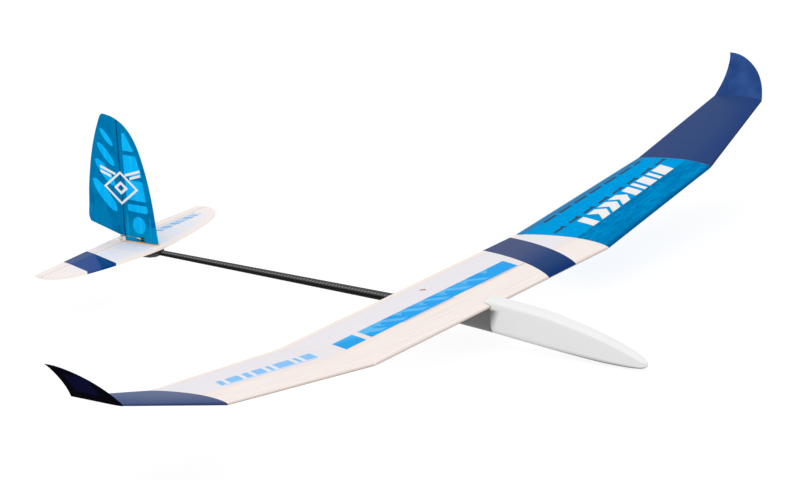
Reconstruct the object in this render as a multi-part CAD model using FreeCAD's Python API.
import FreeCAD, Part
import math
import os

# Radio-controlled two-metre sailplane: built-up balsa wing and tail, slip-on nose cone, carbon boom.
# Everything is drawn in the aeroplane's own datum: x to port, y aft from the wing's leading edge at the
# root, z up from the root chord. At the end the whole aeroplane is moved so that the origin lies on the
# ground under the middle of its length and span.

V = FreeCAD.Vector
X_AXIS, Y_AXIS, Z_AXIS = V(1, 0, 0), V(0, 1, 0), V(0, 0, 1)

# ---------------------------------------------------------------- driving dimensions, mm
# wing: (x, leading edge y, trailing edge y, chord line z) at each dihedral break of the port half
ROOT = (0.0, 0.0, 187.4, 0.0)
BREAK_1 = (349.2, 0.0, 187.4, 0.0)
BREAK_2 = (719.8, 13.8, 163.0, 45.6)
BREAK_3 = (942.7, 36.6, 134.6, 108.9)
HALF_SPAN = 1000.0
FOIL_THICKNESS, FOIL_CAMBER, FOIL_PEAK = 0.068, 0.018, 0.42
TE_THICKNESS = 0.6
SHEET, FILM, FIT = 1.5, 0.3, 0.05
SPAR_FRONT, SPAR_REAR, TE_FRONT = 0.30, 0.34, 0.92
CAP, RIB = 1.2, 1.6
SEAT_GAP = 0.08

# spoilers in the centre panel, just behind the spar
SPOILER_IN, SPOILER_OUT, SPOILER_FRONT, SPOILER_REAR = 26.0, 172.0, 69.4, 105.0
SPOILER_GAP, SPOILER_BLADE, SPOILER_ROOM = 0.7, 1.6, 0.8
SPOILER_HINGE_Y, SPOILER_HINGE_Z, SPOILER_SERVO_Z = 70.3, 8.55, -0.7

# fuselage
NOSE_Y, CONE_REAR, TONGUE_REAR, POD_REAR = -286.0, 2.0, 12.5, 205.0
POD_WALL, CONE_FIT = 1.2, 0.45
BOOM_FRONT, BOOM_END = 190.0, 736.0
BOOM_Z_REF, BOOM_Y_REF, BOOM_SLOPE = -16.75, 222.0, 0.0344
BOOM_R_FRONT, BOOM_R_TAIL, BOOM_WALL = 7.65, 4.9, 0.8
BOLT_Y, BOLT_R, BOLT_HEAD_R = 145.4, 2.0, 3.9
PIN_Y, PIN_R = 34.0, 1.5
HOOK_Y, HOOK_Z, HOOK_R, HOOK_LENGTH, HOOK_BEND = 82.0, -46.0, 0.8, 11.0, 2.0

# tail
STAB_Z, STAB_THICK, MOUNT_Z = 9.0, 5.0, -1.0
ELEV_HINGE_Y, TAIL_NOSE_GAP = 768.0, 0.4
FIN_THICK = 5.0
RUDDER_HINGE = (V(0, 765.0, 13.0), V(0, 769.6, 227.6))
STRIP_Z = (11.5, 13.5)

# controls
ROD_R, HORN_HOLE_R = 0.4, 1.15
RUDDER_ARM, ELEVATOR_ARM = 9.0, 8.5
RUDDER_HORN_Z, ELEVATOR_HORN_Z = 22.0, 0.5
SERVO_SIZE = (12.0, 23.0, 22.0)
TRAY_Z, TRAY_THICK, TRAY_BEND_Y, TRAY_NOSE_Y, TRAY_DROP = -34.0, 2.0, -118.0, -246.0, 21.0
ARM_Z = -26.0
RUDDER_SERVO_Y, ELEVATOR_SERVO_Y, SHAFT_OFFSET = -45.0, -85.0, 5.5

nodes = {}


# ---------------------------------------------------------------- small helpers
def box(x0, x1, y0, y1, z0, z1):
    return Part.makeBox(x1 - x0, y1 - y0, z1 - z0, V(x0, y0, z0))


def rod(start, end, radius):
    return Part.makeCylinder(radius, (end - start).Length, start, end - start)


def joined(shapes):
    """Several pieces as one group of separate solids."""
    return Part.makeCompound([solid for shape in shapes for solid in shape.Solids])


def mirrored(shape):
    return shape.mirror(V(0, 0, 0), X_AXIS)


def spline(points, closed=False):
    curve = Part.BSplineCurve()
    curve.interpolate(points, PeriodicFlag=closed)
    return curve.toShape()


def add(name, shape):
    nodes[name] = shape


def add_pair(stem, shape):
    """The port piece and its mirror image to starboard."""
    add(stem + "_left", shape)
    add(stem + "_right", mirrored(shape))


def add_both(name, shape):
    """The port piece and its mirror image as one part."""
    add(name, joined([shape, mirrored(shape)]))


# ---------------------------------------------------------------- wing sections
def foil(s):
    """Upper and lower height at chord fraction s, as fractions of the chord."""
    half = 5 * FOIL_THICKNESS * (0.2969 * math.sqrt(s) - 0.126 * s - 0.3516 * s**2
                                 + 0.2843 * s**3 - 0.1036 * s**4)
    if s < FOIL_PEAK:
        camber = FOIL_CAMBER / FOIL_PEAK**2 * (2 * FOIL_PEAK * s - s * s)
    else:
        camber = FOIL_CAMBER / (1 - FOIL_PEAK)**2 * (1 - 2 * FOIL_PEAK + 2 * FOIL_PEAK * s - s * s)
    return camber + half, camber - half


def skin_z(station, s, upper, inset):
    """Height of the skin, inset by a thickness, at chord fraction s of a wing station."""
    x, lead, trail, z = station
    high, low = foil(s)
    chord = trail - lead
    edge = 0.5 * TE_THICKNESS * s
    return z + chord * high + edge - inset if upper else z + chord * low - edge + inset


def fractions(s0, s1, count=11):
    """Chord fractions from s0 to s1, crowded towards the leading edge."""
    a0, a1 = math.acos(1 - 2 * s0), math.acos(1 - 2 * s1)
    return [0.5 * (1 - math.cos(a0 + (a1 - a0) * i / (count - 1))) for i in range(count)]


def section(station, s0=0.0, s1=1.0, inset=0.0):
    """Closed outline of the wing section between two chord fractions, in the plane of its rib."""
    x, lead, trail, z = station
    chord = trail - lead
    steps = fractions(s0, s1)

    def point(s, upper):
        return V(x, lead + s * chord, skin_z(station, s, upper, inset))

    top = [point(s, True) for s in reversed(steps)]
    bottom = [point(s, False) for s in steps]
    if s0 == 0.0:
        top[-1] = V(x, lead + inset, z)
        edges = [spline(top + bottom[1:])]
    else:
        edges = [spline(top), Part.makeLine(top[-1], bottom[0]), spline(bottom)]
    edges.append(Part.makeLine(bottom[-1], top[0]))
    return Part.Wire(edges)


def between(root, tip, x):
    """The wing station at x on the straight panel from root to tip."""
    t = (x - root[0]) / (tip[0] - root[0])
    return tuple(a + (b - a) * t for a, b in zip(root, tip))


def span_piece(panel, x0, x1, s0=0.0, s1=1.0, inset=0.0):
    """Solid along a panel from x0 to x1, between two chord fractions."""
    ends = [section(between(*panel, x), s0, s1, inset) for x in (x0, x1)]
    return Part.makeLoft(ends, True, True)


# ---------------------------------------------------------------- wing panels
def rib_stations(x0, x1, bays):
    step = (x1 - x0 - RIB) / bays
    return [x0 + step * i for i in range(bays + 1)]


def panel_pieces(panel, x0, x1, bays, closed_tip=False):
    """Leading-edge box, ribs, spar, trailing edge and film of one wing panel.

    A closed tip has no nose rib at its end, because the winglet's root stands there."""
    over = 4.0
    nose = span_piece(panel, x0, x1, 0.0, SPAR_REAR)
    dbox = nose.cut(span_piece(panel, x0 - over, x1 + over, 0.035, SPAR_REAR + 0.02, SHEET))
    caps = span_piece(panel, x0, x1, SPAR_FRONT, SPAR_REAR, SHEET + FIT)
    caps = caps.cut(span_piece(panel, x0 - over, x1 + over, SPAR_FRONT - 0.02, SPAR_REAR + 0.02, SHEET + CAP))
    middle = 0.5 * (SPAR_FRONT + SPAR_REAR)
    web = span_piece(panel, x0, x1, middle - 0.006, middle + 0.006, SHEET + CAP + FIT)
    film = span_piece(panel, x0, x1, SPAR_REAR, TE_FRONT)
    film = film.cut(span_piece(panel, x0 - over, x1 + over, SPAR_REAR - 0.02, TE_FRONT + 0.02, FILM))
    trailing = span_piece(panel, x0, x1, TE_FRONT, 1.0)
    ribs = []
    stations = rib_stations(x0, x1, bays)
    for x in stations:
        if not closed_tip or x < stations[-1]:
            ribs.append(span_piece(panel, x, x + RIB, 0.04, SPAR_FRONT - 0.002, SHEET + FIT))
        ribs.append(span_piece(panel, x, x + RIB, SPAR_REAR + 0.002, TE_FRONT - 0.002, FILM + FIT))
    return {"dbox": dbox, "ribs": joined(ribs), "spar_caps": joined([caps]), "shear_web": web,
            "film": joined([film]), "trailing_edge": trailing}


PANEL_1 = (ROOT, BREAK_1)
PANEL_2 = (BREAK_1, BREAK_2)
PANEL_3 = (BREAK_2, BREAK_3)


def spoiler_well(clearance, depth):
    """Cutter for the port spoiler's place in the upper skin."""
    return box(SPOILER_IN - clearance, SPOILER_OUT + clearance, SPOILER_FRONT - clearance,
               SPOILER_REAR + clearance, depth, 20)


def make_wing():
    root_panel = (tuple([-BREAK_1[0]] + list(ROOT[1:])), BREAK_1)
    centre = panel_pieces(root_panel, -BREAK_1[0], BREAK_1[0], 14)
    outer = span_piece(root_panel, SPOILER_IN, SPOILER_OUT, 0.2, 0.8)
    under = span_piece(root_panel, SPOILER_IN - 5, SPOILER_OUT + 5, 0.19, 0.81, SPOILER_BLADE)
    blade = outer.cut(under).common(box(SPOILER_IN, SPOILER_OUT, SPOILER_HINGE_Y, SPOILER_REAR, 0, 20))
    blade_nose = Part.makeCylinder(SPOILER_BLADE / 2, SPOILER_OUT - SPOILER_IN,
                                   V(SPOILER_IN, SPOILER_HINGE_Y, SPOILER_HINGE_Z), X_AXIS)
    blade = blade.fuse(blade_nose).removeSplitter()
    floor = span_piece(root_panel, SPOILER_IN - 5, SPOILER_OUT + 5, 0.19, 0.81, SPOILER_BLADE + SPOILER_ROOM)
    well = spoiler_well(SPOILER_GAP, 0).cut(floor)
    arm_bay = box(30, 60, SPOILER_FRONT - 1.0, SPOILER_REAR - 6, SPOILER_SERVO_Z, 12)
    blades = joiner()
    blades = blades.fuse(mirrored(blades))
    for cutter in (well, mirrored(well), arm_bay, mirrored(arm_bay), blades):
        centre["ribs"] = centre["ribs"].cut(cutter)
    for cutter in (well, mirrored(well)):
        centre["film"] = centre["film"].cut(cutter)
    bolt_hole = rod(V(0, BOLT_Y, -20), V(0, BOLT_Y, 20), BOLT_HEAD_R + 1.6)
    pin_hole = rod(V(0, PIN_Y, -20), V(0, PIN_Y, 20), PIN_R)
    centre["film"] = centre["film"].cut(bolt_hole)
    centre["ribs"] = centre["ribs"].cut(bolt_hole)
    centre["dbox"] = centre["dbox"].cut(pin_hole.common(box(-5, 5, 20, 50, -20, 2)))
    centre["spar"] = joined([centre.pop("spar_caps"), centre.pop("shear_web")])
    for name, shape in centre.items():
        add("centre_" + name, joined([shape]))
    add_pair("spoiler", blade)
    for stem, panel, x0, x1, bays in (("mid", PANEL_2, BREAK_1[0], BREAK_2[0], 8),
                                      ("tip", PANEL_3, BREAK_2[0], BREAK_3[0], 5)):
        pieces = panel_pieces(panel, x0, x1, bays, stem == "tip")
        pieces["ribs"] = pieces["ribs"].cut(blades)
        pieces["spar"] = joined([pieces.pop("spar_caps"), pieces.pop("shear_web")])
        for name in ("dbox", "film"):
            add_pair(f"{stem}_{name}", pieces[name])
        for name in ("ribs", "spar", "trailing_edge"):
            add_both(f"{stem}_{name}", pieces[name])
    add_pair("winglet", winglet())
    add_both("wing_joiners", joiner())
    ply = rod(V(0, BOLT_Y, -20), V(0, BOLT_Y, 20), BOLT_HEAD_R + 1.6)
    ply = ply.cut(rod(V(0, BOLT_Y, -20), V(0, BOLT_Y, 20), BOLT_R + 0.1))
    ply = ply.cut(rod(V(0, BOLT_Y, 2.6), V(0, BOLT_Y, 20), BOLT_HEAD_R + 0.1))
    add("bolt_plate", ply.common(span_piece(root_panel, -20, 20, 0.5, 0.95)))
    add("wing_pin", rod(V(0, PIN_Y, -9.5), V(0, PIN_Y, skin_z(ROOT, PIN_Y / ROOT[2], False, SHEET)), PIN_R))


def winglet():
    """Upswept tip blade: its leading edge curls back to a point at the trailing edge."""
    stations = [(0.0, 36.6, 134.6), (0.28, 44.5, 129.0), (0.50, 55.0, 127.0), (0.72, 72.0, 127.6),
                (0.88, 92.0, 129.8), (0.96, 108.0, 132.0), (0.995, 127.0, 133.6)]
    width, rise = HALF_SPAN - BREAK_3[0], 67.7
    wires = [section((BREAK_3[0] + width * t, lead, trail, BREAK_3[3] + rise * t))
             for t, lead, trail in stations]
    return Part.makeLoft(wires, True, False)


def joiner():
    """Bent carbon blade that joins the centre panel to the outer panel."""
    reach, y0, y1, half = 58.0, 46.0, 48.4, 3.4
    slope = (BREAK_2[3] - BREAK_1[3]) / (BREAK_2[0] - BREAK_1[0])
    x1, z1 = BREAK_1[0], 2.6
    lift = slope * reach
    points = [V(x1 - reach, y0, z1 - half), V(x1, y0, z1 - half), V(x1 + reach, y0, z1 - half + lift),
              V(x1 + reach, y0, z1 + half + lift), V(x1, y0, z1 + half), V(x1 - reach, y0, z1 + half)]
    return Part.Face(Part.makePolygon(points + points[:1])).extrude(V(0, y1 - y0, 0))


# ---------------------------------------------------------------- fuselage
# pod sections: y, half width, top z, bottom z
POD = [(-286.0, 1.6, -61.3, -63.9), (-285.0, 4.4, -59.7, -66.4), (-281.0, 7.6, -57.0, -68.8),
       (-272.0, 10.2, -51.7, -70.3), (-258.0, 12.0, -45.4, -71.0), (-238.0, 13.2, -37.4, -70.9),
       (-210.0, 14.2, -28.3, -70.0), (-178.0, 15.0, -19.0, -67.7), (-140.0, 15.8, -9.9, -64.3),
       (-100.0, 16.6, -2.0, -60.0), (-60.0, 17.3, 3.6, -55.4), (-20.0, 17.8, 7.4, -50.6),
       (12.5, 17.6, 9.6, -46.9), (40.0, 16.6, 9.0, -44.4), (75.0, 14.8, 7.0, -41.2),
       (110.0, 12.6, 4.5, -37.0), (145.0, 10.8, 1.0, -32.6), (178.0, 9.6, -5.0, -28.6),
       (206.0, 8.8, -8.5, -26.1)]


def boom_z(y):
    return BOOM_Z_REF + BOOM_SLOPE * (y - BOOM_Y_REF)


def pod_wire(y, half, top, bottom, inset):
    """Pod section: flat sided and nearly square at the top, rounder below."""
    squareness_top, squareness_bottom = 7.0, 3.0
    blend = min(1.0, max(0.0, (206.0 - y) / 60.0))
    centre, height = 0.5 * (top + bottom), 0.5 * (top - bottom) - inset
    points = []
    for i in range(32):
        a = 2 * math.pi * (i + 0.5) / 32
        c, s = math.cos(a), math.sin(a)
        n = 2.0 + blend * ((squareness_top if s > 0 else squareness_bottom) - 2.0)
        points.append(V(math.copysign(abs(c)**(2 / n), c) * (half - inset), y,
                        centre + math.copysign(abs(s)**(2 / n), s) * height))
    return Part.Wire([spline(points, True)])


def pod_solid(inset):
    rows = POD if inset == 0 else [row for row in POD if row[1] > inset + 3.0]
    return Part.makeLoft([pod_wire(*row, inset) for row in rows], True, False)


def boom_rod(grow, y0, y1):
    """Tapered boom, or a larger or smaller copy of it, between two stations."""
    def radius(y):
        return BOOM_R_FRONT + (BOOM_R_TAIL - BOOM_R_FRONT) * (y - BOOM_Y_REF) / (688.0 - BOOM_Y_REF) + grow
    start, end = V(0, y0, boom_z(y0)), V(0, y1, boom_z(y1))
    return Part.makeCone(radius(y0), radius(y1), (end - start).Length, start, end - start)


def wing_room(ahead, around):
    """The centre of the wing, grown a little ahead and around, to cut the fuselage to its shape."""
    ends = [(x, ROOT[1] - ahead, ROOT[2], ROOT[3]) for x in (-60.0, 60.0)]
    whole = span_piece(ends, -60, 60, inset=-around)
    return whole.fuse(span_piece(ends, -60, 60, 0.0, SPAR_REAR, -around))


def make_fuselage():
    outer = pod_solid(0)
    shell = outer.cut(pod_solid(POD_WALL))
    wing_clear = wing_room(0.4, CONE_FIT)
    ahead = box(-40, 40, NOSE_Y - 5, CONE_REAR, -90, 30)
    tongue = box(-40, 40, CONE_REAR - 1, TONGUE_REAR, 2, 30)
    wing = wing_room(SEAT_GAP, SEAT_GAP)
    cone = shell.common(ahead.fuse(tongue)).cut(wing_clear)
    add("nose_cone", joined([max(cone.Solids, key=lambda s: s.Volume)]))
    above = box(-40, 40, -20, ROOT[2] + 0.01, 0, 40)
    behind = box(-40, 40, CONE_REAR + 0.4, POD_REAR, -90, 30)
    rear = shell.common(behind).cut(wing).cut(above).cut(boom_rod(0, BOOM_FRONT - 1, POD_REAR + 5))
    add("pod_shell", joined([max(rear.Solids, key=lambda s: s.Volume)]))
    core = pod_solid(POD_WALL + CONE_FIT)
    spigot = core.cut(pod_solid(2 * POD_WALL + CONE_FIT)).common(box(-40, 40, -12, CONE_REAR + 0.4, -90, -3))
    ring = pod_solid(POD_WALL).common(box(-40, 40, CONE_REAR + 0.4, CONE_REAR + 3.4, -90, 30))
    opening = pod_solid(POD_WALL + 5.0).common(box(-40, 40, -20, 20, TRAY_Z, -6))
    former = spigot.fuse(ring).cut(opening).cut(wing_clear).cut(box(-40, 40, -20, 20, -3, 40))
    tray_slot = box(-12, 12, -20, 20, TRAY_Z - TRAY_THICK, TRAY_Z)
    add("front_former", joined([max(former.cut(tray_slot).Solids, key=lambda s: s.Volume)]))
    inner = pod_solid(POD_WALL)
    block = inner.common(box(-9, 9, BOLT_Y - 8, BOLT_Y + 8, -13, 10)).cut(wing).cut(above)
    block = block.cut(rod(V(0, BOLT_Y, -20), V(0, BOLT_Y, 20), BOLT_R + 1.0))
    block = max(block.Solids, key=lambda s: s.Volume)
    insert = rod(V(0, BOLT_Y, -13), V(0, BOLT_Y, -4), BOLT_R + 1.0)
    add("threaded_insert", insert.cut(rod(V(0, BOLT_Y, -14), V(0, BOLT_Y, 0), BOLT_R + 0.05)))
    head = Part.makeCone(BOLT_R, BOLT_HEAD_R, 1.6, V(0, BOLT_Y, 1.4 + 1.2), Z_AXIS)
    bolt = rod(V(0, BOLT_Y, -15), V(0, BOLT_Y, 2.6), BOLT_R).fuse(head).removeSplitter()
    bolt = bolt.cut(box(-2.6, 2.6, BOLT_Y - 0.4, BOLT_Y + 0.4, 3.4, 6))
    add("wing_bolt", bolt)
    saddle = inner.common(box(-9, 9, PIN_Y - 6, PIN_Y + 6, -14, 10)).cut(wing).cut(above)
    saddle = saddle.fuse(inner.common(box(-30, 30, PIN_Y - 2, PIN_Y + 2, -14, 10)).cut(wing).cut(above))
    saddle = saddle.removeSplitter()
    saddle = saddle.cut(rod(V(0, PIN_Y, -20), V(0, PIN_Y, 20), PIN_R + 0.05))
    saddle = max(saddle.Solids, key=lambda s: s.Volume)
    boom = boom_rod(0, BOOM_FRONT, BOOM_END).cut(boom_rod(-BOOM_WALL, BOOM_FRONT - 1, BOOM_END + 1))
    add("boom", boom.cut(rudder_rod_slot()))
    hook_top = -34.0
    plate = inner.common(box(-5, 5, HOOK_Y - 12, HOOK_Y + 14, -60, -37.0))
    hook_bend = V(0, HOOK_Y + HOOK_BEND, HOOK_Z)
    bent = Part.Face(Part.Wire(Part.makeCircle(HOOK_R, hook_bend, V(0, 1, 0))))
    bent = bent.revolve(hook_bend + V(0, 0, HOOK_BEND), V(1, 0, 0), -90)
    hook = rod(V(0, HOOK_Y, hook_top), V(0, HOOK_Y, HOOK_Z + HOOK_BEND), HOOK_R).fuse(bent)
    hook = hook.fuse(rod(hook_bend, V(0, HOOK_Y + HOOK_LENGTH, HOOK_Z), HOOK_R))
    hook_hole = rod(V(0, HOOK_Y, -60), V(0, HOOK_Y, hook_top + 1), HOOK_R)
    add("tow_hook", hook)
    add("pod_blocks", joined([block, saddle, plate.cut(hook_hole)]))
    nodes["pod_shell"] = nodes["pod_shell"].cut(hook_hole)


# ---------------------------------------------------------------- radio gear in the nose
def make_tray():
    half, rear = 10.5, CONE_REAR + 3.4
    top = [(rear, TRAY_Z), (TRAY_BEND_Y, TRAY_Z), (TRAY_NOSE_Y, TRAY_Z - TRAY_DROP)]
    points = [V(-half, y, z) for y, z in top] + [V(-half, y, z - TRAY_THICK) for y, z in reversed(top)]
    tray = Part.Face(Part.makePolygon(points + points[:1])).extrude(V(2 * half, 0, 0))
    for y in (RUDDER_SERVO_Y, ELEVATOR_SERVO_Y):
        half, reach = SERVO_SIZE[0] / 2, SERVO_SIZE[1] / 2
        tray = tray.cut(box(-half, half, y - reach, y + reach, TRAY_Z - 5, TRAY_Z + 5))
        for end in (-1, 1):
            tray = tray.cut(rod(V(0, y + end * 14.0, TRAY_Z - 5), V(0, y + end * 14.0, TRAY_Z + 5), 0.7))
    add("equipment_tray", tray)


def make_servo(name, y, reach):
    """Micro servo with its lugs on the tray, and its arm on the output shaft.

    Returns the servo and its mounting screws; reach is the signed length of the arm."""
    width, length, height = SERVO_SIZE
    shaft = V(0, y + SHAFT_OFFSET, ARM_Z)
    top = ARM_Z - 2.6
    body = box(-width / 2, width / 2, y - length / 2, y + length / 2, top - height, top)
    lugs = box(-width / 2, width / 2, y - length / 2 - 4.7, y + length / 2 + 4.7, TRAY_Z, TRAY_Z + 1.6)
    tower = Part.makeCylinder(5.6, 1.6, V(0, shaft.y, top))
    spline_post = Part.makeCylinder(2.0, 1.8, V(0, shaft.y, top))
    servo = body.fuse([lugs, tower, spline_post]).removeSplitter()
    for end in (-1, 1):
        servo = servo.cut(rod(V(0, y + end * 14.0, -40), V(0, y + end * 14.0, -20), 0.9))
    hub = Part.makeCylinder(3.0, 2.6, V(0, shaft.y, ARM_Z - 0.6))
    tip = V(reach, shaft.y, ARM_Z + 0.4)
    arm = hub.fuse([box(min(0, tip.x), max(0, tip.x), shaft.y - 1.9, shaft.y + 1.9, ARM_Z + 0.4, ARM_Z + 2.0),
                    Part.makeCylinder(2.3, 1.6, tip)]).removeSplitter()
    arm = arm.cut(Part.makeCylinder(HORN_HOLE_R, 6, tip - V(0, 0, 2)))
    arm = arm.cut(Part.makeCylinder(2.05, 1.25, V(0, shaft.y, ARM_Z - 1.0)))
    add(name + "_servo_arm", arm)
    screws = [Part.makeCylinder(1.3, 1.0, V(0, y + end * 14.0, TRAY_Z + 1.6)).fuse(
        Part.makeCylinder(0.7, 5.2, V(0, y + end * 14.0, TRAY_Z - 3.6))) for end in (-1, 1)]
    return servo, screws


def tilted(shape, pivot):
    """Leans a piece nose down with the front of the tray."""
    moved = shape.copy()
    moved.rotate(pivot, X_AXIS, math.degrees(math.atan2(TRAY_DROP, TRAY_BEND_Y - TRAY_NOSE_Y)))
    return moved


def make_radio():
    make_tray()
    rudder, rudder_screws = make_servo("rudder", RUDDER_SERVO_Y, -RUDDER_ARM)
    elevator, elevator_screws = make_servo("elevator", ELEVATOR_SERVO_Y, ELEVATOR_ARM)
    add("servos", joined([rudder, elevator]))
    add("servo_screws", joined(rudder_screws + elevator_screws))
    pivot = V(0, TRAY_BEND_Y, TRAY_Z)
    add("receiver", tilted(box(-9, 9, -160, -126, TRAY_Z, TRAY_Z + 9.0), pivot))
    add("battery", tilted(box(-8.5, 8.5, -226, -168, TRAY_Z, TRAY_Z + 13.0), pivot))
    weight = pod_solid(POD_WALL + 1.0).common(box(-20, 20, -276, TRAY_NOSE_Y, -90, 0))
    add("nose_weight", joined([weight]))


# ---------------------------------------------------------------- pushrods
def bent_wire(points, radius, sides=16):
    """Round wire along straight runs: the ring of the start is carried along each run to its mitre plane."""
    runs = [(b - a).normalize() for a, b in zip(points, points[1:])]
    across = runs[0].cross(Z_AXIS if abs(runs[0].z) < 0.9 else X_AXIS).normalize()
    up = across.cross(runs[0])
    turns = [2 * math.pi * i / sides for i in range(sides)]
    rings = [[points[0] + across * (radius * math.cos(t)) + up * (radius * math.sin(t)) for t in turns]]
    for i, run in enumerate(runs):
        ahead = runs[min(i + 1, len(runs) - 1)]
        normal = run + ahead
        corner = points[i + 1]
        rings.append([p + run * ((corner - p).dot(normal) / run.dot(normal)) for p in rings[-1]])
    faces = [Part.Face(Part.makePolygon(ring + ring[:1])) for ring in (rings[0], rings[-1])]
    for near, far in zip(rings, rings[1:]):
        for i in range(sides):
            j = (i + 1) % sides
            faces.append(Part.Face(Part.makePolygon([near[i], near[j], far[j], far[i], near[i]])))
    return Part.Solid(Part.Shell(faces))


RISE = [V(-0.2, 699.0, 1.2), V(-0.2, 715.0, 16.4), V(-0.2, 727.0, 18.6), V(-8.6, 744.0, 23.6)]
FIN_SLOT_Y, FIN_SLOT_Z = (722.0, 738.0), (STRIP_Z[1], 22.5)


def rudder_rod_slot():
    """Room for the rudder rod as it climbs through the boom, mount, tailplane and fin, over its travel."""
    travel, room = 4.6, 0.55
    cutters = [box(-FIN_THICK, RISE[2].x + ROD_R + room, *FIN_SLOT_Y, *FIN_SLOT_Z)]
    for a, b in zip(RISE[:2], RISE[1:3]):
        profile = []
        for shift in (-travel, travel):
            for point in (a, b):
                profile += [point + V(0, shift, -1.1), point + V(0, shift, 1.1)]
        cutters.append(hull_prism(profile, min(a.x, b.x) - ROD_R - room, max(a.x, b.x) + ROD_R + room))
    return cutters[0].fuse(cutters[1:])


def hull_prism(points, x0, x1):
    """Prism from x0 to x1 over the convex outline of points in y and z."""
    rest = sorted({(round(p.y, 4), round(p.z, 4)) for p in points})

    def half(chain):
        out = []
        for p in chain:
            while len(out) > 1 and ((out[-1][0] - out[-2][0]) * (p[1] - out[-2][1])
                                    - (out[-1][1] - out[-2][1]) * (p[0] - out[-2][0])) <= 0:
                out.pop()
            out.append(p)
        return out[:-1]

    loop = half(rest) + half(rest[::-1])
    loop = [V(x0, y, z) for y, z in loop]
    return Part.Face(Part.makePolygon(loop + loop[:1])).extrude(V(x1 - x0, 0, 0))


def hinge_y(z):
    a, b = RUDDER_HINGE
    return a.y + (b.y - a.y) * (z - a.z) / (b.z - a.z)


def make_pushrods():
    arc = 0.42
    start = V(-RUDDER_ARM + arc, RUDDER_SERVO_Y + SHAFT_OFFSET, ARM_Z + 2.9)
    end = V(-RUDDER_ARM + arc, hinge_y(RUDDER_HORN_Z), RUDDER_HORN_Z + 1.6)
    points = [start - V(0, 0, 3.4), start, V(-4.5, 60.0, -20.0), V(-0.6, 640.0, boom_z(640.0) + 1.4)]
    points += RISE + [end, end - V(0, 0, 4.0)]
    add("rudder_pushrod", bent_wire(points, ROD_R))
    arc = 0.21
    start = V(ELEVATOR_ARM - arc, ELEVATOR_SERVO_Y + SHAFT_OFFSET, ARM_Z + 2.9)
    end = V(1.9, ELEV_HINGE_Y, ELEVATOR_HORN_Z + arc)
    points = [start - V(0, 0, 3.4), start, V(4.2, 60.0, -20.6), V(3.4, 300.0, boom_z(300.0) - 1.0)]
    points += [end, end - V(3.6, 0, 0)]
    add("elevator_pushrod", bent_wire(points, ROD_R))


# ---------------------------------------------------------------- tail
def flat_face(edges):
    return Part.Face(Part.Wire(Part.__sortEdges__(edges)))


def stab_outline():
    """Tailplane and elevator as one plan outline at the height of the hinge."""
    lead = [V(0, 685.0, 0), V(60, 690.3, 0), V(120, 699.4, 0), V(176, 712.8, 0), V(204, 723.6, 0),
            V(222.5, 739.5, 0), V(231.5, 761.0, 0), V(229.8, 783.0, 0)]
    whole = [V(-p.x, p.y, 0) for p in reversed(lead)] + lead[1:]
    trail = [lead[-1], V(0, 795.5, 0), whole[0]]
    edges = [spline(whole), Part.makeLine(trail[0], trail[1]), Part.makeLine(trail[1], trail[2])]
    return flat_face(edges)


def fin_outline():
    """Fin and rudder as one side outline in the plane of symmetry."""
    lead = [(695.4, STRIP_Z[1]), (699.0, 43.4), (704.2, 85.3), (710.3, 118.0), (719.6, 154.0),
            (731.0, 185.0), (745.8, 208.5), (769.7, 227.4), (785.0, 233.0), (800.3, 235.4)]
    trail = [(802.8, 232.6), (814.9, 203.3), (825.3, 169.0), (832.9, 132.0), (838.0, 95.0),
             (840.6, 62.0), (841.0, 46.0), (836.7, 38.0)]
    lead, trail = [[V(0, y, z) for y, z in side] for side in (lead, trail)]
    foot = [trail[-1], V(0, 764.5, 19.0), V(0, 764.5, STRIP_Z[1]), lead[0]]
    edges = [spline(lead), Part.makeLine(lead[-1], trail[0]), spline(trail)]
    edges += [Part.makeLine(a, b) for a, b in zip(foot, foot[1:])]
    return flat_face(edges)


def blob(points):
    """Smooth closed cutter outline through a few points."""
    return Part.Face(Part.Wire([spline(points, True)]))


def ellipse_face(centre, major, minor, angle):
    """Ellipse in the plane of symmetry; angle is measured up from the y axis."""
    turned = []
    for i in range(12):
        a = 2 * math.pi * i / 12
        u, v = major * math.cos(a), minor * math.sin(a)
        c, s = math.cos(angle), math.sin(angle)
        turned.append(centre + V(0, u * c - v * s, u * s + v * c))
    return blob(turned)


def rounded_polygon(points, radius):
    """Polygon face with rounded corners."""
    face = Part.Face(Part.makePolygon(points + points[:1]))
    inner = face.makeOffset2D(-radius, join=2)
    return inner.makeOffset2D(radius, join=0)


FIN_WINDOWS = [
    ([(757.4, 206.0), (757.4, 174.9), (733.4, 174.9), (751.0, 206.0)], 2.0),
    ([(757.4, 167.7), (730.3, 167.0), (718.6, 130.4), (757.0, 130.2)], 2.0),
    ([(755.8, 123.4), (718.8, 122.5), (713.3, 86.9), (754.4, 88.1)], 2.0),
    ([(754.4, 80.4), (710.7, 79.6), (711.0, 65.8), (753.4, 68.0)], 4.5),
]
RUDDER_WINDOWS = [(791.6, 195.1, 19.3, 5.2), (795.0, 164.2, 25.7, 7.0), (798.6, 131.6, 29.6, 8.6),
                  (802.3, 91.0, 36.0, 10.0)]
RUDDER_WINDOW_ANGLE = math.radians(48.0)


def fin_window_faces():
    faces = [rounded_polygon([V(0, y, z) for y, z in loop], radius) for loop, radius in FIN_WINDOWS]
    faces.append(ellipse_face(V(0, 731.4, 43.4), 15.4, 13.6, math.pi / 2))
    return faces


def rudder_window_faces():
    return [ellipse_face(V(0, y, z), major, minor, RUDDER_WINDOW_ANGLE)
            for y, z, major, minor in RUDDER_WINDOWS]


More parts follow.
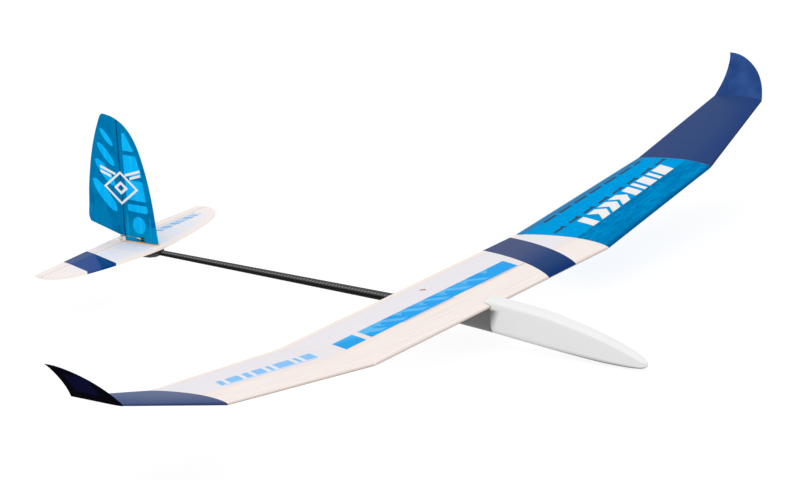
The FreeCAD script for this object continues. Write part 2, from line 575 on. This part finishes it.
def wedge_rudder():
    """Rudder blank: full thickness at the hinge, thin at the trailing edge, round at its nose."""
    a, b = RUDDER_HINGE
    half, thin, reach = FIN_THICK / 2, 0.8, 84.0
    wires = []
    for end, z in ((a, -20.0), (b, 260.0)):
        y = hinge_y(z)
        wires.append(Part.makePolygon([V(half, y, z), V(thin, y + reach, z), V(-thin, y + reach, z),
                                       V(-half, y, z), V(half, y, z)]))
    wedge = Part.makeLoft(wires, True, True)
    axis = V(0, hinge_y(260.0), 260.0) - V(0, hinge_y(-20.0), -20.0)
    nose = Part.makeCylinder(half, axis.Length, V(0, hinge_y(-20.0), -20.0), axis)
    return wedge.fuse(nose).removeSplitter()


def hinge_cylinder(radius):
    low, high = V(0, hinge_y(-20.0), -20.0), V(0, hinge_y(260.0), 260.0)
    return Part.makeCylinder(radius, (high - low).Length, low, high - low)


def slab(face, half, axis):
    moved = face.copy()
    moved.translate(axis * -half)
    return moved.extrude(axis * (2 * half))


def film_pair(faces, low, high, axis):
    """Thin film over a window on both sides of a flat surface, low and high being the outer faces."""
    films = []
    for face in faces:
        for side, level in ((1, low), (-1, high - FILM)):
            moved = face.copy()
            moved.translate(axis * level)
            films.append(moved.extrude(axis * FILM))
    return joined(films)


def make_fin_and_rudder():
    profile = fin_outline()
    blank = slab(profile, 4.0, X_AXIS)
    split_a, split_b = V(0, hinge_y(0) - 2.0, 0), V(0, hinge_y(250) - 2.0, 250)
    ahead = hull_prism([V(0, 600, 0), V(0, 600, 250), split_a, split_b], -10, 10)
    fin = slab(profile, FIN_THICK / 2, X_AXIS).common(ahead)
    fin = fin.cut(hinge_cylinder(FIN_THICK / 2 + TAIL_NOSE_GAP))
    windows = fin_window_faces()
    for face in windows:
        fin = fin.cut(slab(face, 5, X_AXIS))
    slot = rudder_rod_slot()
    add("fin_frame", fin.cut(slot))
    add("fin_film", film_pair(windows, -FIN_THICK / 2, FIN_THICK / 2, X_AXIS))
    behind = hull_prism([V(0, hinge_y(17.0) - FIN_THICK, 17.0), V(0, hinge_y(250) - FIN_THICK, 250),
                         V(0, 900, 250), V(0, 900, 17.0)], -10, 10)
    rudder = slab(profile, 4.0, X_AXIS).common(wedge_rudder()).common(behind)
    foot = V(0, hinge_y(20) - 8, 20.0 - 8 * 0.263)
    below = hull_prism([foot, foot + V(0, 100, 26.3), foot + V(0, 100, -40), foot + V(0, 0, -40)], -10, 10)
    rudder = rudder.cut(below)
    faces = rudder_window_faces()
    films = []
    for face in faces:
        cutter = slab(face, 5, X_AXIS)
        window = rudder.common(cutter)
        rudder = rudder.cut(cutter)
        films.append(thin_sides(window))
    add("rudder_frame", rudder.cut(rudder_horn_blank()))
    add("rudder_film", joined(films))
    add("rudder_horn", rudder_horn_blank().cut(rudder_horn_hole()))
    strip = box(-3.4, 3.4, 693.6, 764.0, STRIP_Z[0], STRIP_Z[1])
    strip = strip.cut(hinge_cylinder(FIN_THICK / 2 + TAIL_NOSE_GAP))
    add("fin_base_strip", strip.cut(slot))


def thin_sides(window):
    """The two film layers of a tapered window: the blank less a copy of itself moved to each side."""
    port, starboard = window.copy(), window.copy()
    port.translate(V(-FILM, 0, 0))
    starboard.translate(V(FILM, 0, 0))
    return joined([window.cut(port), window.cut(starboard)])


def rudder_horn_blank():
    y = hinge_y(RUDDER_HORN_Z)
    plate = box(-RUDDER_ARM, 1.6, y, y + 5.5, RUDDER_HORN_Z - 0.6, RUDDER_HORN_Z + 0.6)
    return plate.fuse(Part.makeCylinder(2.6, 1.2, V(-RUDDER_ARM, y, RUDDER_HORN_Z - 0.6))).removeSplitter()


def rudder_horn_hole():
    return Part.makeCylinder(HORN_HOLE_R, 6, V(-RUDDER_ARM, hinge_y(RUDDER_HORN_Z), RUDDER_HORN_Z - 3))


STAB_WINDOW_EDGES = [(7.0, 52.0), (59.0, 104.0), (111.0, 152.0), (159.0, 196.0)]


def stab_window_faces():
    """Open bays of the tailplane between its edges and ribs, port and starboard."""
    faces = []
    for x0, x1 in STAB_WINDOW_EDGES:
        def lead(x):
            return 685.0 + 12.0 + 0.00083 * x * x + 3.0e-10 * x**4
        loop = [(x0, lead(x0)), (x1, lead(x1)), (x1 - 2.0, 757.0), (x0 + 0.0, 757.0)]
        for side in (1, -1):
            faces.append(rounded_polygon([V(side * x, y, 0) for x, y in loop], 2.5))
    return faces


def make_tailplane():
    outline = stab_outline()
    half = STAB_THICK / 2
    blank = slab(outline, half, Z_AXIS)
    blank.translate(V(0, 0, STAB_Z))
    nose = Part.makeCylinder(half + TAIL_NOSE_GAP, 600, V(-300, ELEV_HINGE_Y, STAB_Z), X_AXIS)
    stab = blank.common(box(-300, 300, 600, ELEV_HINGE_Y - 2.0, 0, 20)).cut(nose)
    windows = stab_window_faces()
    for face in windows:
        cutter = slab(face, 20, Z_AXIS)
        stab = stab.cut(cutter)
    slot = rudder_rod_slot()
    add("stab_frame", stab.cut(slot))
    add("stab_film", film_pair(windows, STAB_Z - half, STAB_Z + half, Z_AXIS))
    thin, reach = 0.8, 30.0
    loop = [V(-300, ELEV_HINGE_Y, STAB_Z - half), V(-300, ELEV_HINGE_Y + reach, STAB_Z - thin),
            V(-300, ELEV_HINGE_Y + reach, STAB_Z + thin), V(-300, ELEV_HINGE_Y, STAB_Z + half)]
    wedge = Part.Face(Part.makePolygon(loop + loop[:1])).extrude(V(600, 0, 0))
    wedge = wedge.fuse(Part.makeCylinder(half, 600, V(-300, ELEV_HINGE_Y, STAB_Z), X_AXIS)).removeSplitter()
    elevator = blank.common(wedge)
    horn = elevator_horn()
    add("elevator_frame", elevator.cut(elevator_horn_blank()))
    add("elevator_horn", horn)
    mount = box(-5.5, 5.5, 687.0, 758.0, MOUNT_Z, STAB_Z - half).cut(boom_rod(0, 680, 745))
    mount = mount.cut(slot).cut(box(-2.6, 5.0, BOOM_END, 760, -3, 3.4))
    add("stab_mount", joined([max(mount.Solids, key=lambda s: s.Volume)]))
    make_tail_fairing()


def make_tail_fairing():
    """Black cup under the boom's end; it is the tail skid and guides the elevator rod."""
    rows = [(690.5, 5.6, -5.2), (700.0, 5.8, -9.6), (714.0, 6.0, -12.6), (733.0, 6.0, -13.3),
            (750.0, 5.4, -10.5), (758.0, 4.6, -7.5)]
    wires = []
    for y, half, low in rows:
        top = -1.0
        points = []
        for i in range(13):
            a = math.pi * i / 12
            across = half * math.copysign(abs(math.cos(a))**0.7, math.cos(a))
            points.append(V(across, y, top - (top - low) * math.sin(a)**0.8))
        wires.append(Part.Wire([spline(points), Part.makeLine(points[-1], points[0])]))
    cup = Part.makeLoft(wires, True, True)
    cup = cup.cut(boom_rod(0, 680, BOOM_END)).cut(box(-2.6, 5.0, BOOM_END - 2, 770, -4.2, 4))
    cup = cup.cut(box(-20, 20, 680, 780, MOUNT_Z - FIT, 10))
    add("tail_fairing", joined([max(cup.Solids, key=lambda s: s.Volume)]))


def elevator_horn_blank():
    y, z = ELEV_HINGE_Y, ELEVATOR_HORN_Z
    profile = [(y + 5.0, STAB_Z + 4.6), (y + 10.0, STAB_Z + 4.2), (y + 10.0, STAB_Z - 3), (y + 3.0, z - 2.0),
               (y - 1.8, z - 1.6), (y - 2.0, z + 1.6), (y + 3.4, STAB_Z - 3.0)]
    loop = [V(-0.6, *point) for point in profile + profile[:1]]
    return Part.Face(Part.makePolygon(loop)).extrude(V(1.2, 0, 0))


def elevator_horn():
    hole = Part.makeCylinder(HORN_HOLE_R, 6, V(-3, ELEV_HINGE_Y, ELEVATOR_HORN_Z), X_AXIS)
    return elevator_horn_blank().cut(hole)


# ---------------------------------------------------------------- spoiler drive
def make_spoiler_drive():
    """A thin servo beside each spoiler, with a wiper arm that lifts the blade."""
    pivot_y, pivot_z = SPOILER_FRONT + 4.0, 2.6
    case = box(31.0, 50.0, pivot_y - 4.0, pivot_y + 18.0, SPOILER_SERVO_Z, 5.9)
    add_both("spoiler_servos", case.fuse(Part.makeCylinder(2.0, 2.0, V(50, pivot_y, pivot_z), X_AXIS)))
    arm = Part.makeCylinder(2.4, 1.6, V(52.4, pivot_y, pivot_z), X_AXIS)
    bar = box(52.4, 54.0, pivot_y, pivot_y + 15.0, pivot_z - 1.2, pivot_z + 1.0)
    pad = box(52.4, 54.0, pivot_y + 12.0, pivot_y + 15.0, pivot_z - 1.2, pivot_z + 2.6)
    arm = arm.fuse([bar, pad]).removeSplitter()
    add_pair("spoiler_arm", arm)


# ---------------------------------------------------------------- build, place on the ground and write
def main():
    make_wing()
    make_fuselage()
    make_radio()
    make_pushrods()
    make_fin_and_rudder()
    make_tailplane()
    make_spoiler_drive()
    whole = FreeCAD.BoundBox()
    for shape in nodes.values():
        whole.add(shape.optimalBoundingBox(False))
    shift = V(0, -0.5 * (whole.YMin + whole.YMax), -whole.ZMin)
    print("origin shift %.3f %.3f" % (shift.y, shift.z), "size %.2f %.2f %.2f" % (
        whole.XLength, whole.YLength, whole.ZLength))
    os.makedirs("parts", exist_ok=True)
    for name, shape in nodes.items():
        placed = shape.copy()
        placed.translate(shift)
        placed.exportStep(f"parts/{name}.step")
        print(f"{name:24s} solids {len(shape.Solids):3d} valid {shape.isValid()} volume {shape.Volume:10.1f}")
    print(len(nodes), "nodes")


main()
